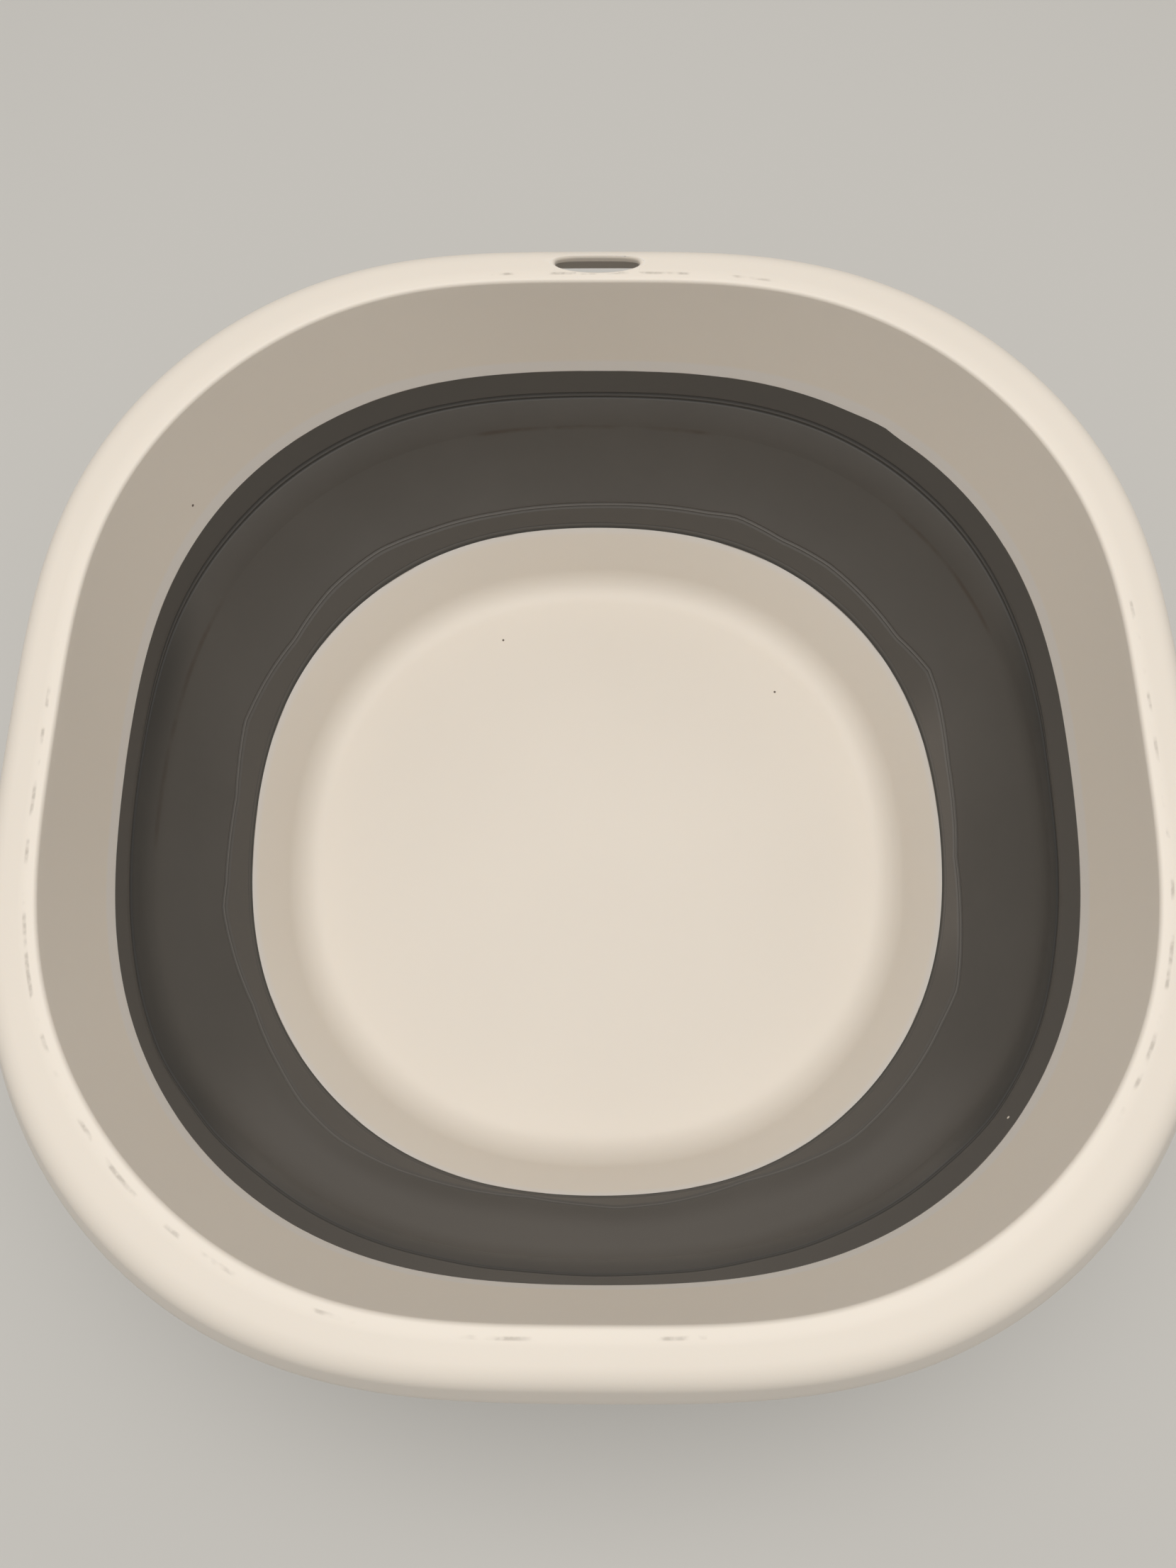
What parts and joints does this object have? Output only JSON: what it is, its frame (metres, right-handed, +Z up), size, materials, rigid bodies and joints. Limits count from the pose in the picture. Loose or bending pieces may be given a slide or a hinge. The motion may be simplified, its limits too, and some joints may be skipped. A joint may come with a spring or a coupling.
{
  "type": "collapsible washbasin",
  "caption": "Rounded-square hard-plastic rim and round dish joined by a folding rubber wall that turns inside out, so the basin lies flat; the rim has a hanging slot.",
  "frame": {"origin": "centre of the four pads' undersides, on the surface that the basin stands on", "axes": "+Z up, +Y towards the hanging slot, +X to the right seen from the side opposite the slot"},
  "size_m": [0.355, 0.355, 0.1499],
  "materials": {
    "white_plastic": "satin off-white moulded polypropylene",
    "grey_rubber": "matt warm-grey thermoplastic rubber"
  },
  "bodies": {
    "base": {"base_pan": "white_plastic", "folding_wall": "grey_rubber", "foot_pad_1": "grey_rubber", "foot_pad_2": "grey_rubber", "foot_pad_3": "grey_rubber", "foot_pad_4": "grey_rubber"},
    "rim": {"rim_frame": "white_plastic"}
  },
  "joints": [
    {"name": "collapse", "type": "slide", "parent": "base", "child": "rim", "axis": [0, 0, 1], "range_m": [-0.092, 0], "deforming": ["folding_wall"]}
  ]
}
